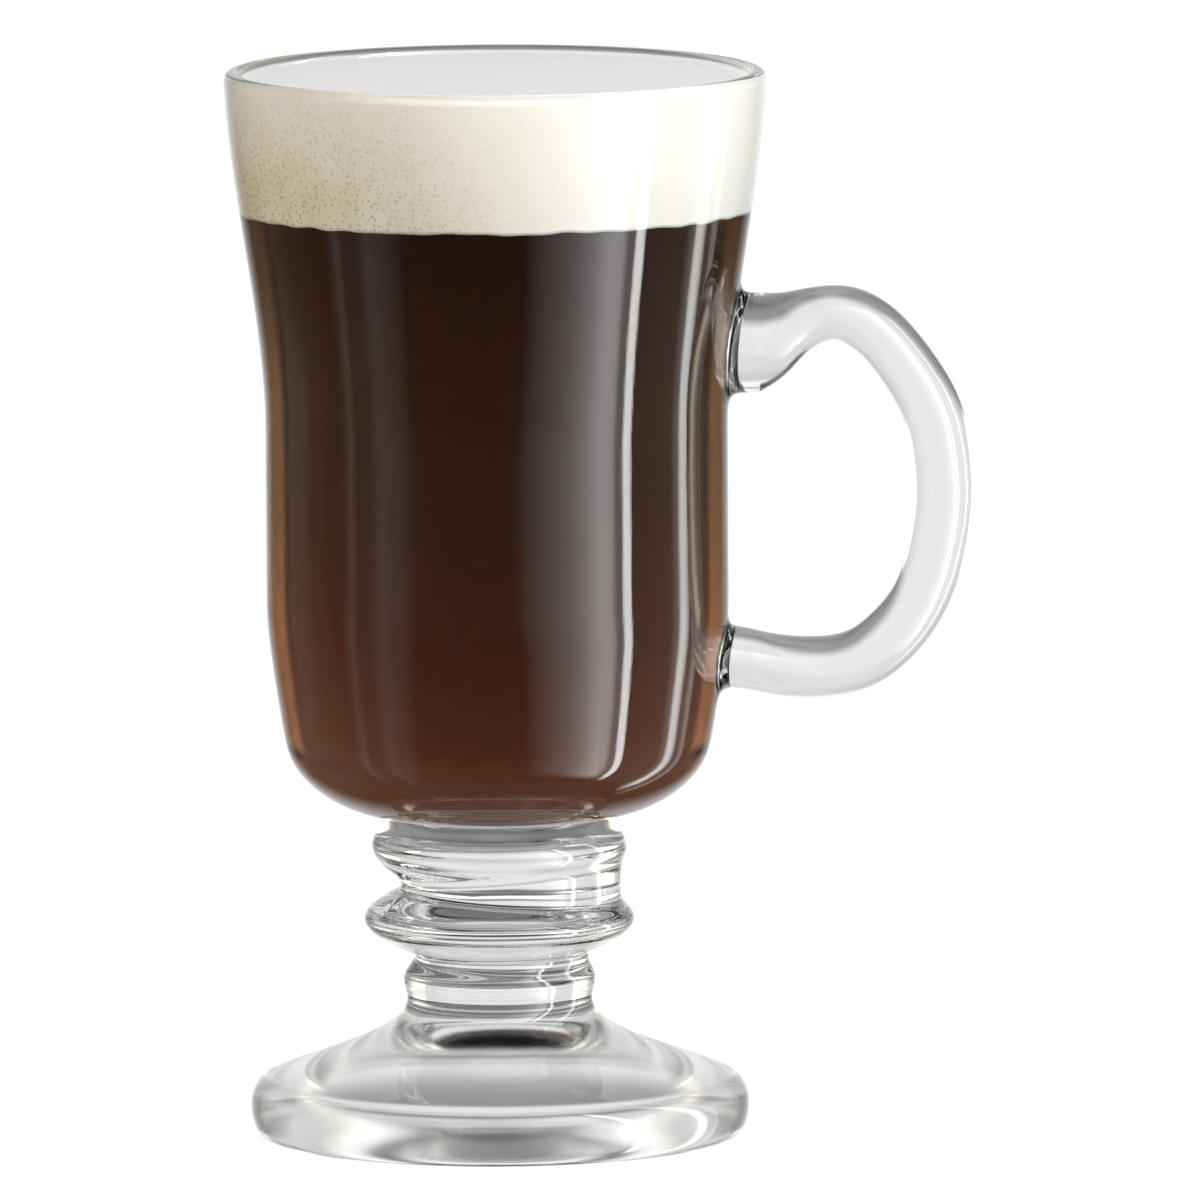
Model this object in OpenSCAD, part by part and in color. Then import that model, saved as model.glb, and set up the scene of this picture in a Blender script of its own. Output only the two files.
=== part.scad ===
// Footed glass mug for hot drinks, filled with coffee under a layer of cream.
// Lengths are millimetres. The mug stands on z = 0, its axis is +Z and the handle points along +X.

/* [Bowl] */
// Height of the bowl, from the stem to the lip
bowl_h = 103.5; // [96:0.1:125]
// Outer diameter at the lip
rim_d = 74.9; // [70:0.1:82]
// Outer diameter of the straight waist
waist_d = 64; // [60:0.1:68]
// Outer diameter at the heel, where the wall turns in to the base
heel_d = 58.8; // [54:0.1:59.6]
// Height of the flared stretch below the lip
flare_h = 48; // [42:0.1:55]
// Height of the heel above the bottom of the bowl
heel_h = 9.8; // [8:0.1:12]
// Height of the tapering stretch above the heel
taper_h = 18.8; // [14:0.1:24]
// Thickness of the wall
wall_t = 3.5; // [2.4:0.1:4.2]
// Thickness of the rounded lip
lip_t = 2.4; // [1.6:0.1:3]
// Thickness of the glass under the drink
base_t = 4.5; // [3:0.1:7]

/* [Stem] */
// Diameter of the joint between the bowl and the stem
joint_d = 29.6; // [27:0.1:32]
// Diameter of the upper ring
upper_ring_d = 35.2; // [33:0.1:38]
// Height of the upper ring
upper_ring_h = 8.9; // [7:0.1:11]
// Diameter of the middle ring
middle_ring_d = 37.6; // [34:0.1:41]
// Height of the middle ring
middle_ring_h = 9.2; // [7:0.1:11]
// Diameter of the lower ring
lower_ring_d = 26.4; // [25:0.1:30]
// Height of the lower ring
lower_ring_h = 4.6; // [3:0.1:6]
// Diameter of the neck under the upper ring
upper_neck_d = 30.7; // [27:0.1:31.4]
// Height of the neck under the upper ring
upper_neck_h = 1.2; // [0.6:0.1:3]
// How far the upper neck lies off the axis, towards the handle
upper_neck_shift = 1.6; // [0:0.1:1.8]
// Diameter of the neck under the middle ring
lower_neck_d = 24; // [22:0.1:25.4]
// Height of the neck under the middle ring
lower_neck_h = 0.8; // [0.5:0.1:3]
// How far the lower neck lies off the axis, towards the handle
lower_neck_shift = 0.4; // [0:0.1:1]
// Height of the plain collar over the foot
collar_h = 1; // [0.5:0.1:4]

/* [Foot] */
// Height of the foot
foot_h = 18.8; // [17:0.1:22]
// Diameter of the foot
foot_d = 69; // [64:0.1:78]
// Diameter of the collar where the foot meets the stem
collar_d = 25.6; // [24:0.1:27]
// Thickness of the rounded edge
edge_t = 8.6; // [7:0.1:10]
// Depth of the rounding over the edge, measured inwards
edge_w = 3.6; // [2.5:0.1:5]
// Outer diameter of the ring that the foot rests on
rest_d = 65.2; // [61.5:0.1:68]
// Diameter of the hollow in the underside
hollow_d = 57; // [50:0.1:60]
// Height of the hollow in the underside
hollow_h = 14; // [10:0.1:14.6]

/* [Handle] */
// How far the handle stands out from the waist of the bowl
handle_reach = 34.1; // [28:0.1:42]
// Height from the underside of the handle to its top
handle_h = 57.8; // [50:0.1:66]
// Height of the handle's underside above the bottom of the bowl
handle_rise = 15.8; // [14:0.1:21]
// Thickness of the grip, seen from the side
grip_t = 8.6; // [7:0.1:10]
// Width of the grip, seen from behind
grip_w = 10.4; // [8:0.1:13]
// Height of the upper pad, with the lobe that hangs from it
upper_pad_h = 13.9; // [12:0.1:17]
// Height of the lower pad
lower_pad_h = 8.4; // [7.6:0.1:11]
// How far the fused pads stand out from the bowl
pad_t = 1.5; // [0.8:0.1:2]
// How far the fused pads spread over the bowl, all round the handle
pad_spread = 1.5; // [0.6:0.1:2]

/* [Drink] */
// Thickness of the cream
cream_t = 18.6; // [8:0.1:26]
// Room between the cream and the top of the lip
headroom = 0.7; // [0.5:0.1:8]

/* [Hidden] */

// Sides of the turned pieces
turned_sides = 96;
// Steps along one curved stretch of an outline
curve_steps = 10;
// Steps along a small rounding
round_steps = 6;
// Steps down one ring of the stem
ring_steps = 12;
// Points round the handle's section, and sections along one stretch between two of its stations
section_sides = 24;
stretch_steps = 3;
// Rings of points across each fused end of the handle, from the middle to the edge
seat_rings = 4;
// Outline of a fused pad from the bowl outwards: shares of its thickness, and beside them of its spread
pad_edge_shares = [[0.3, 0.6], [0.75, 0.36], [1, 0.06]];
// Depth by which the handle's fused ends stand off the glass that they follow
seat_gap = 0.02;
// Share of the flare that follows an S-curve, where the rest is straight
flare_ease_share = 0.75;
// Power by which the bowl's taper bends in towards the heel
taper_power = 1.3;
// Where the two pulls of the heel's curve lie, from the heel (0) to the stem (1), across and down
heel_pull_shares = [[0.053, 0.44], [0.45, 0.95]];
// The same for the inside corner, from the wall (0) to the floor (1)
corner_pull_shares = [[0.05, 0.6], [0.42, 0.98]];
// Radius of the flat floor as a share of the radius inside the heel
floor_share = 0.42;
// The same pulls for the foot, from the collar (0) to its edge (1)
foot_pull_shares = [[0.02, 0.42], [0.57, 0.69]];
// The same pulls for the hollow, from its rim (0) to its crown (1)
hollow_pull_shares = [[0.07, 0.43], [0.6, 1]];
// How much a neck of the stem widens to its ends, as a share of its radius
neck_flare_share = 0.04;
// Height inside the middle ring at which its upper neck ends, as a share of that ring's height
neck_reach_share = 0.6;
// Angle above level at which the foot's rounded edge meets its upper face
edge_top_angle = 72;

rim_r = rim_d / 2;
waist_r = waist_d / 2;
heel_r = heel_d / 2;
joint_r = joint_d / 2;
foot_r = foot_d / 2;
collar_r = collar_d / 2;
hollow_r = hollow_d / 2;
rest_r = rest_d / 2;

stem_h = collar_h + lower_ring_h + lower_neck_h + middle_ring_h + upper_neck_h + upper_ring_h;
stem_z = foot_h;
bowl_z = stem_z + stem_h;
rim_z = bowl_z + bowl_h;
heel_z = bowl_z + heel_h;
taper_z = heel_z + taper_h;
flare_z = rim_z - flare_h;
floor_z = bowl_z + base_t;
cream_z = rim_z - headroom;
coffee_z = cream_z - cream_t;

// Ease in and out from 0 to 1
function s_curve(t) = t * t * (3 - 2 * t);

// Cubic curve from a to b, whose two pulls are shares of the way across and along from a to b
function pulled(a, b, pulls, steps) = [
    for (i = [0 : steps])
        let (
            t = i / steps,
            u = 1 - t,
            p = [a[0] + pulls[0][0] * (b[0] - a[0]), a[1] + pulls[0][1] * (b[1] - a[1])],
            q = [a[0] + pulls[1][0] * (b[0] - a[0]), a[1] + pulls[1][1] * (b[1] - a[1])]
        )
        u * u * u * a + 3 * u * u * t * p + 3 * u * t * t * q + t * t * t * b
];

// Part of an ellipse about a centre, from one angle to another
function bend(centre, across, up, from, to, steps) = [
    for (i = [0 : steps])
        let (a = from + (to - from) * i / steps)
        centre + [across * cos(a), up * sin(a)]
];

// The same list without its first point, for a stretch that starts where the last one ended
function after(points) = [for (i = [1 : len(points) - 1]) points[i]];

// Radius of the flare: from the waist at 0 to the lip at 1
function flare_r(t) =
    waist_r + (rim_r - waist_r) * (flare_ease_share * s_curve(t) + (1 - flare_ease_share) * t);

// Radius of the taper: from the waist at 0 to the heel at 1
function taper_r(t) = waist_r - (waist_r - heel_r) * pow(t, taper_power);

// Thickness of the wall on the flare, thinning from the waist at 0 to the lip at 1
function flare_wall(t) = wall_t + (lip_t - wall_t) * s_curve(t);

lip_z = rim_z - lip_t / 2;
lip_share = (lip_z - flare_z) / flare_h;

// Outer face of the bowl, from the lip down to the stem, as points of radius and height
bowl_outside = concat(
    [for (i = [curve_steps : -1 : 0])
        let (t = lip_share * i / curve_steps)
        [flare_r(t), flare_z + t * flare_h]],
    [for (i = [0 : curve_steps])
        let (t = i / curve_steps)
        [taper_r(t), taper_z - t * taper_h]],
    after(pulled([heel_r, heel_z], [joint_r, bowl_z], heel_pull_shares, curve_steps))
);

// Inner face of the bowl, from the lip down to the middle of the floor
bowl_inside = concat(
    [for (i = [curve_steps : -1 : 0])
        let (t = lip_share * i / curve_steps)
        [flare_r(t) - (i == curve_steps ? lip_t : flare_wall(t)), flare_z + t * flare_h]],
    [for (i = [0 : curve_steps])
        let (t = i / curve_steps)
        [taper_r(t) - wall_t, taper_z - t * (taper_h - wall_t / 2)]],
    after(pulled(
        [heel_r - wall_t, heel_z + wall_t / 2],
        [(heel_r - wall_t) * floor_share, floor_z],
        corner_pull_shares,
        curve_steps
    )),
    [[0, floor_z]]
);

// Half round of the lip, from the inner face over to the outer face
lip = bend(
    [flare_r(lip_share) - lip_t / 2, lip_z],
    lip_t / 2,
    lip_t / 2,
    180,
    0,
    2 * round_steps
);

// Radius of a face at a height, read along its points
function radius_at(face, z) = lookup(z, [for (p = face) [p[1], p[0]]]);

module bowl() {
    color("aliceblue", 0.4)
        rotate_extrude($fn = turned_sides)
            polygon(concat(
                bowl_outside,
                [[0, bowl_z]],
                [for (i = [len(bowl_inside) - 1 : -1 : 0]) bowl_inside[i]],
                [for (i = [1 : len(lip) - 2]) lip[i]]
            ));
}

// Height of each ring's lower side, from the foot upwards
lower_ring_z = stem_z + collar_h;
middle_ring_z = lower_ring_z + lower_ring_h + lower_neck_h;
upper_ring_z = middle_ring_z + middle_ring_h + upper_neck_h;

// Radius of the core that carries the rings, as pairs of height and radius
core = [
    [stem_z, collar_r],
    [middle_ring_z, lower_neck_d / 2 - lower_neck_shift],
    [upper_ring_z, upper_neck_d / 2 - upper_neck_shift],
    [bowl_z, joint_r]
];

// One ring of a given height and diameter: half a cosine wave that stands on the core
module ring(z, h, d) {
    middle = z + h / 2;
    proud = d / 2 - lookup(middle, core);
    rotate_extrude($fn = turned_sides)
        polygon(concat(
            [[0, z + h]],
            [for (i = [0 : ring_steps])
                let (turn = 180 * i / ring_steps - 90, at = middle - h / 2 * turn / 90)
                [lookup(at, core) + proud * cos(turn), at]],
            [[0, z]]
        ));
}

// One neck: a waist of a given diameter that widens towards the ring above and the ring below it
module neck(low, high, d) {
    rotate_extrude($fn = turned_sides)
        polygon(concat(
            [[0, high]],
            [for (i = [0 : ring_steps])
                let (turn = 180 * i / ring_steps - 90)
                [d / 2 * (1 + neck_flare_share * (1 - cos(turn))), high - (high - low) * i / ring_steps]],
            [[0, low]]
        ));
}

module stem() {
    color("aliceblue", 0.4) {
        ring(upper_ring_z, upper_ring_h, upper_ring_d);
        translate([upper_neck_shift, 0, 0])
            neck(middle_ring_z + middle_ring_h * neck_reach_share, upper_ring_z + upper_ring_h / 2, upper_neck_d);
        ring(middle_ring_z, middle_ring_h, middle_ring_d);
        translate([lower_neck_shift, 0, 0])
            neck(lower_ring_z + lower_ring_h / 2, middle_ring_z + middle_ring_h * (1 - neck_reach_share), lower_neck_d);
        ring(lower_ring_z, lower_ring_h, lower_ring_d);
        translate([0, 0, stem_z])
            cylinder(h = collar_h + lower_ring_h / 2, r = collar_r, $fn = turned_sides);
    }
}

edge_centre = [foot_r - edge_w, edge_t / 2];
edge_top = edge_centre + [edge_w * cos(edge_top_angle), edge_t / 2 * sin(edge_top_angle)];

module foot() {
    color("aliceblue", 0.4)
        rotate_extrude($fn = turned_sides)
            polygon(concat(
                [[0, foot_h]],
                pulled([collar_r, foot_h], edge_top, foot_pull_shares, 2 * curve_steps),
                after(bend(edge_centre, edge_w, edge_t / 2, edge_top_angle, 0, round_steps)),
                after(bend([rest_r, edge_t / 2], foot_r - rest_r, edge_t / 2, 0, -90, round_steps)),
                pulled([hollow_r, 0], [0, hollow_h], hollow_pull_shares, 2 * curve_steps)
            ));
}

// Stations along the outer edge of the handle, from the upper pad round to the lower one. Each holds its place
// as shares of the reach and of the handle's height, the turn of its section from the upper pad on, in degrees,
// and shares of the thickness and of the grip's width. The thickness is a share of the upper pad as far as
// its lobe goes, then of the grip, and at the end of the lower pad.
handle_shares = [
    [0.12, 0.98, 0, 1.00, 1.28],
    [0.191, 0.978, 0, 0.892, 1.24],
    [0.264, 0.982, -4, 0.72, 1.14],
    [0.323, 0.991, -4, 0.907, 1.06],
    [0.42, 1.00, 4, 0.86, 1.01],
    [0.54, 0.992, 14, 0.92, 1.00],
    [0.683, 0.94, 30, 0.95, 1.00],
    [0.824, 0.84, 49, 0.94, 1.00],
    [0.947, 0.715, 66, 0.98, 1.00],
    [1.00, 0.523, 88, 1.00, 1.00],
    [0.969, 0.367, 101, 0.95, 1.00],
    [0.893, 0.225, 116, 0.92, 1.00],
    [0.769, 0.114, 136, 0.965, 1.00],
    [0.587, 0.029, 159, 0.985, 1.01],
    [0.411, 0, 175, 1.02, 1.03],
    [0.235, 0.005, 178, 1.00, 1.10],
    [0.05, 0.031, 180, 1.00, 1.25]
];
lobe_stations = 3;
handle_z = bowl_z + handle_rise;
last_station = len(handle_shares) - 1;

// One station: distance from the axis, height, turn, thickness and width
function station(i) =
    let (
        s = handle_shares[max(0, min(last_station, i))],
        thick = i < lobe_stations ? upper_pad_h : i >= last_station ? lower_pad_h : grip_t
    )
    [waist_r + s[0] * handle_reach, handle_z + s[1] * handle_h, s[2], s[3] * thick, s[4] * grip_w];

// Smooth curve through the stations, at t of the way from station i to the next
function along(i, t) =
    let (a = station(i - 1), b = station(i), c = station(i + 1), d = station(i + 2))
    (2 * b + t * (c - a) + t * t * (2 * a - 5 * b + 4 * c - d) + t * t * t * (3 * b - a - 3 * c + d)) / 2;

sections = [
    for (i = [0 : last_station - 1])
        for (j = [0 : stretch_steps - 1])
            along(i, j / stretch_steps),
    station(last_station)
];

// A point of one oval section, which reaches inwards from the outer edge and may spread past it all round:
// the share is 1 round the section and less inside it
function section_point(n, side, share, spread) =
    let (
        s = sections[n],
        inwards = [-sin(s[2]), -cos(s[2])],
        a = 360 * side / section_sides,
        across = s[3] / 2 - share * (s[3] / 2 + spread) * cos(a)
    )
    [s[0] + inwards[0] * across, share * (s[4] / 2 + spread) * sin(a), s[1] + inwards[1] * across];

// The same point carried along X until it stands off the outer face of the bowl by a given distance
function seated(p, off) = [sqrt(pow(radius_at(bowl_outside, p[2]) + off, 2) - p[1] * p[1]), p[1], p[2]];

// One ring of points round a fused pad or, with a smaller share, inside its seat on the bowl
function pad_ring(n, share, spread, off) =
    [for (k = [0 : section_sides - 1]) seated(section_point(n, k, share, spread), off)];

// Rings of points: the upper seat from its middle outwards, its pad, the handle, the lower pad and its seat
last_section = len(sections) - 1;
handle_rings = concat(
    [for (r = [1 : seat_rings]) pad_ring(0, r / seat_rings, pad_spread, seat_gap)],
    [for (e = pad_edge_shares) pad_ring(0, 1, e[1] * pad_spread, e[0] * pad_t)],
    [for (n = [1 : last_section - 1])
        [for (k = [0 : section_sides - 1]) section_point(n, k, 1, 0)]],
    [for (i = [len(pad_edge_shares) - 1 : -1 : 0])
        pad_ring(last_section, 1, pad_edge_shares[i][1] * pad_spread, pad_edge_shares[i][0] * pad_t)],
    [for (r = [seat_rings : -1 : 1]) pad_ring(last_section, r / seat_rings, pad_spread, seat_gap)]
);

module handle() {
    n = len(handle_rings);
    points = concat(
        [for (ring = handle_rings) each ring],
        [for (n = [0, last_section]) seated(section_point(n, 0, 0, 0), seat_gap)]
    );
    sides = section_sides;
    faces = concat(
        [for (r = [0 : n - 2], k = [0 : sides - 1])
            let (a = r * sides + k, b = r * sides + (k + 1) % sides)
            each [[a, b, a + sides], [b, b + sides, a + sides]]],
        [for (k = [0 : sides - 1]) [n * sides, (k + 1) % sides, k]],
        [for (k = [0 : sides - 1])
            [n * sides + 1, (n - 1) * sides + k, (n - 1) * sides + (k + 1) % sides]]
    );
    color("aliceblue", 0.4)
        polyhedron(points, faces);
}

// Half section of the drink between two heights, bounded by the inner face of the bowl
function drink_outline(low, high) = concat(
    [[0, high], [radius_at(bowl_inside, high), high]],
    [for (p = bowl_inside) if (p[0] > 0 && p[1] < high && p[1] > low) p],
    low > floor_z ? [[radius_at(bowl_inside, low), low]] : [[(heel_r - wall_t) * floor_share, floor_z]],
    [[0, low]]
);

module coffee() {
    color("#3a1f14")
        rotate_extrude($fn = turned_sides)
            polygon(drink_outline(floor_z, coffee_z));
}

module cream() {
    color("#efe6d3")
        rotate_extrude($fn = turned_sides)
            polygon(drink_outline(coffee_z, cream_z));
}

bowl();
stem();
foot();
handle();
coffee();
cream();
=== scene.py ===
"""Looks of a footed glass mug of coffee under cream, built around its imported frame.

Lengths in the mug's classes are millimetres, as in the part's source, and become metres in closed_mesh, while the
studio's are metres. Every piece is a surface worked out on a grid of rings, whose formula its method's docstring
gives in words.
"""

import logging
import math
from dataclasses import dataclass, field
from enum import IntEnum
from functools import partial
from typing import Any, Callable, Sequence

import bpy
import numpy as np
from bpy.types import ID, Material, Node, NodeSocket, NodeTree, Object
from mathutils import Matrix, Vector

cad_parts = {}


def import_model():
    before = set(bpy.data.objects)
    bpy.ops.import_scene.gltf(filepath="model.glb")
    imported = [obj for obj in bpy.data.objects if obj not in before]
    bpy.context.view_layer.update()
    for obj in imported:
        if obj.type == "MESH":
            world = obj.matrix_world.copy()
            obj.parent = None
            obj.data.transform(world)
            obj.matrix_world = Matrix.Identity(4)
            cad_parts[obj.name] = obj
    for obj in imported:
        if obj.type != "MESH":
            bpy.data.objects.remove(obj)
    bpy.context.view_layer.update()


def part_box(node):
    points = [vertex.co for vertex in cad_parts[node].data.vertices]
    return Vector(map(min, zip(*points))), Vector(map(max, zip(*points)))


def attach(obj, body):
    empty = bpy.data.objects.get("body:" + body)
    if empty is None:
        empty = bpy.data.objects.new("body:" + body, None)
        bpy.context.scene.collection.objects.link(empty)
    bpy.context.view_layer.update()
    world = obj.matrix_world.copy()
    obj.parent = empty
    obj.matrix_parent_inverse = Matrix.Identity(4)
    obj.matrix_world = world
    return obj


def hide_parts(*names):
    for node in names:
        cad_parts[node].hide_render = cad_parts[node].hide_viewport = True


LOG = logging.getLogger("mug")
MM = 0.001
BODY = "root"
# Rings of a flat disc, as shares of its radius
DISC_SHARES = (0.4, 0.8, 0.97)

Array = np.ndarray
Table = Sequence[Sequence[float]]
Adder = Callable[..., Node]


# Curves and irregularities

def s_curve(t: Array | float) -> Array | float:
    """Eases in and out from 0 to 1."""
    return t * t * (3 - 2 * t)


def pulled(start: Sequence[float], end: Sequence[float], pulls: Table, count: int) -> Array:
    """Cubic Bezier curve whose two inner points are shares of the way across and along from start to end.

    Args:
        start: First point, as radius and height.
        end: Last point.
        pulls: The two inner points, each as a share across and a share along.
        count: How many points to return.

    Returns:
        Points of shape (count, 2), both ends among them.
    """
    a, b = np.asarray(start, float), np.asarray(end, float)
    p, q = (a + np.asarray(pull) * (b - a) for pull in pulls)
    t = np.linspace(0, 1, count)[:, None]
    u = 1 - t
    return u**3 * a + 3 * u * u * t * p + 3 * u * t * t * q + t**3 * b


def arc(centre: Sequence[float], across: float, up: float, first: float, last: float, count: int) -> Array:
    """Part of an ellipse: centre plus (across * cos a, up * sin a), for a from first to last in degrees.

    Args:
        centre: Middle of the ellipse, as radius and height.
        across: Half its width.
        up: Half its height.
        first: First angle.
        last: Last angle.
        count: How many points to return.

    Returns:
        Points of shape (count, 2).
    """
    a = np.radians(np.linspace(first, last, count))
    return np.stack([centre[0] + across * np.cos(a), centre[1] + up * np.sin(a)], 1)


def catmull(stations: Array, steps: int) -> Array:
    """Catmull-Rom curve through the stations, each end station standing in for the one that it lacks.

    Args:
        stations: Values of shape (n, k).
        steps: Steps from one station to the next.

    Returns:
        Values of shape ((n - 1) * steps + 1, k).
    """
    held = np.concatenate([stations[:1], stations, stations[-1:]])
    a, b, c, d = held[:-3, None], held[1:-2, None], held[2:-1, None], held[3:, None]
    t = (np.arange(steps) / steps)[None, :, None]
    curve = (2 * b + t * (c - a) + t**2 * (2 * a - 5 * b + 4 * c - d) + t**3 * (3 * b - a - 3 * c + d)) / 2
    return np.concatenate([curve.reshape(-1, stations.shape[1]), stations[-1:]])


def softened(profile: Array, width: float) -> Array:
    """Rounds a profile's corners: each point becomes a mean of the profile about it, weighted by a bell curve.

    Args:
        profile: Radii and heights, and any other values in step with them, of shape (n, k).
        width: Standard deviation of the bell, as a length along the profile. It narrows to nothing at both ends.

    Returns:
        As many points, with the ends unmoved.
    """
    steps = np.hypot(*np.diff(profile[:, :2], axis=0).T)
    along = np.concatenate([[0], np.cumsum(steps)])
    reach = np.minimum(np.minimum(along, along[-1] - along) / 3, width) + 1e-6
    shares = np.linspace(-3, 3, 25)
    weights = np.exp(-shares**2 / 2) / np.exp(-shares**2 / 2).sum()
    at = along[:, None] + shares * reach[:, None]
    return np.stack([(np.interp(at, along, values) * weights).sum(1) for values in profile.T], 1)


def ripple(turn: Array, height: Array, waves: int, pitch: float, seed: int) -> Array:
    """Unevenness of hand-finished glass: a mean of sines of random phase, periodic round the axis.

    Args:
        turn: Angles round the axis, in radians.
        height: Heights in millimetres, broadcast against turn.
        waves: Most waves round the piece.
        pitch: Shortest wave along the height, in millimetres.
        seed: Seed of the phases.

    Returns:
        Values between -1 and 1.
    """
    rng = np.random.default_rng(seed)
    count = 7
    total = np.zeros(np.broadcast(turn, height).shape)
    for _ in range(count):
        around = rng.integers(0, waves + 1)
        along = rng.uniform(-1, 1) * 2 * math.pi / pitch
        total += np.sin(around * turn + along * height + rng.uniform(0, 2 * math.pi))
    return total / count


def smooth_max(a: Array, b: Array, width: float) -> Array:
    """The larger of two radii, with a fillet where they are closer than width."""
    near = np.maximum(width - np.abs(a - b), 0) / width
    return np.maximum(a, b) + near * near * width / 4


def turned(profile: Array, turns: Array, extra: Array | float = 0) -> Array:
    """Rings made by turning a profile about the axis: x = (r + extra) cos t, y = (r + extra) sin t, z.

    Args:
        profile: Radii and heights, of shape (n, 2).
        turns: Angles of the sides, in radians.
        extra: Added to each radius, of shape (n, m) or plain.

    Returns:
        Rings of shape (n, m, 3).
    """
    r = profile[:, :1] + extra
    z = np.broadcast_to(profile[:, 1:2], (len(profile), len(turns)))
    return np.stack([r * np.cos(turns), r * np.sin(turns), z], 2)


def disc(radius: float, height: float, shares: Sequence[float] = DISC_SHARES) -> Array:
    """Profile points of a flat disc, at shares of its radius."""
    return np.array([[radius * share, height] for share in shares])


def drawn_in(ring: Array, shares: Sequence[float] = DISC_SHARES) -> Array:
    """Copies of a ring of shape (1, m, 3), drawn in to shares of its distance from the axis."""
    return np.concatenate([ring * [share, share, 1] for share in shares])


def on_axis(*heights: float) -> Array:
    """Points on the axis at some heights."""
    return np.array([[0, 0, height] for height in heights])


def turns_round(count: int, denser: float = 0.0) -> Array:
    """Angles u - denser * sin u for even steps of u, so that the sides lie closer on the handle's side."""
    u = np.arange(count) * 2 * math.pi / count
    return u - denser * np.sin(u)


# Meshes

def linked(name: str, data: ID | None) -> Object:
    """Makes an object and links it to the scene.

    Args:
        name: Its name.
        data: Its mesh, light or camera, or nothing for a bare stand.

    Returns:
        The object.
    """
    made = bpy.data.objects.new(name, data)
    bpy.context.scene.collection.objects.link(made)
    return made


def grid_faces(rows: int, columns: int, closed: bool = True) -> Array:
    """Quads of a grid of points that are numbered row by row.

    Args:
        rows: Rows of points.
        columns: Points in a row.
        closed: Whether the last column joins the first.

    Returns:
        Point numbers of shape (faces, 4).
    """
    side = np.arange(columns if closed else columns - 1)
    after = (side + 1) % columns
    row = np.arange(rows - 1)[:, None] * columns
    return np.stack([row + side, row + after, row + columns + after, row + columns + side], 2).reshape(-1, 4)


def closed_mesh(
    name: str,
    rings: Array,
    poles: Array,
    materials: Sequence[Material],
    slots: Array | int = 0,
    sharp: Sequence[int] = (),
) -> Object:
    """Joins rings of points into a closed, smooth-shaded mesh with a pole at each end.

    The strip between ring i and ring i + 1 is made of quads, and the first and last rings are closed by fans about
    the poles. The faces are turned outwards if the mesh's signed volume comes out negative.

    Args:
        name: Name of the object.
        rings: Points of shape (n, m, 3) in millimetres.
        poles: The first and the last point, of shape (2, 3).
        materials: The materials, in the order of their slots.
        slots: Slot of each face, broadcast to (n + 1, m): the first fan, the strips and the last fan.
        sharp: Rings whose edges are creases.

    Returns:
        The object, with its place in its mesh.
    """
    n, m, _ = rings.shape
    points = np.concatenate([rings.reshape(-1, 3), poles]) * MM
    quads = grid_faces(n, m)
    side = np.arange(m)
    after = (side + 1) % m
    last = (n - 1) * m
    fans = np.concatenate([
        np.stack([np.full(m, n * m), after, side], 1),
        np.stack([np.full(m, n * m + 1), last + side, last + after], 1),
    ])
    halves = np.concatenate([quads[:, [0, 1, 2]], quads[:, [0, 2, 3]], fans])
    a, b, c = (points[halves[:, k]] for k in range(3))
    if np.einsum("ij,ij->i", a, np.cross(b, c)).sum() < 0:
        quads, fans = quads[:, ::-1], fans[:, ::-1]
    mesh = bpy.data.meshes.new(name)
    mesh.from_pydata(points.tolist(), [], fans[:m].tolist() + quads.tolist() + fans[m:].tolist())
    for material in materials:
        mesh.materials.append(material)
    indices = np.broadcast_to(np.asarray(slots), (n + 1, m)).astype(np.int32).ravel()
    mesh.polygons.foreach_set("material_index", indices)
    mesh.polygons.foreach_set("use_smooth", np.ones(len(indices), bool))
    if sharp:
        ends = np.empty(len(mesh.edges) * 2, np.int32)
        mesh.edges.foreach_get("vertices", ends)
        first, second = (ends.reshape(-1, 2) // m).T
        creased = (first == second) & np.isin(first, np.array(sharp) % n)
        mesh.edges.foreach_set("use_edge_sharp", creased)
    mesh.update()
    mesh.validate()
    return linked(name, mesh)


def settle(piece: Object, node: str) -> None:
    """Puts a finished piece in the place of a node of the frame.

    Args:
        piece: The piece.
        node: The node that it stands for.
    """
    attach(piece, BODY)
    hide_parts(node)
    LOG.info("%s stands for %s: %d faces", piece.name, node, len(piece.data.polygons))


# Finishes

def grey(level: float) -> tuple[float, float, float, float]:
    """Neutral colour of a linear level."""
    return level, level, level, 1.0


def linear(code: str) -> tuple[float, float, float, float]:
    """Turns an sRGB hex value into linear light.

    Args:
        code: The value, such as #ffffff.

    Returns:
        Red, green, blue and a full alpha.
    """
    parts = (int(code[k:k + 2], 16) / 255 for k in (1, 3, 5))
    red, green, blue = (c / 12.92 if c <= 0.04045 else ((c + 0.055) / 1.055) ** 2.4 for c in parts)
    return red, green, blue, 1.0


def add_node(
    tree: NodeTree,
    kind: str,
    inputs: dict[str | int, Any] | None = None,
    stops: Sequence[tuple[float, Sequence[float]]] = (),
    **settings: Any,
) -> Node:
    """Adds a node with its settings, values and links.

    Args:
        tree: The node tree.
        kind: The node's type name.
        inputs: Values by input name or number. Sockets are linked, nodes by their first output in use, and
            anything else is set.
        stops: Place and colour of each stop of a colour ramp, from 0 to 1.
        settings: Properties of the node.

    Returns:
        The node.
    """
    node = tree.nodes.new(kind)
    for key, value in settings.items():
        setattr(node, key, value)
    for key, value in (inputs or {}).items():
        if isinstance(value, Node):
            value = next(output for output in value.outputs if output.enabled)
        if isinstance(value, NodeSocket):
            tree.links.new(value, node.inputs[key])
        else:
            node.inputs[key].default_value = value
    for count, (place, colour) in enumerate(stops):
        ramp = node.color_ramp.elements
        stop = ramp[count] if count < 2 else ramp.new(place)
        stop.position, stop.color = place, colour
    return node


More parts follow.
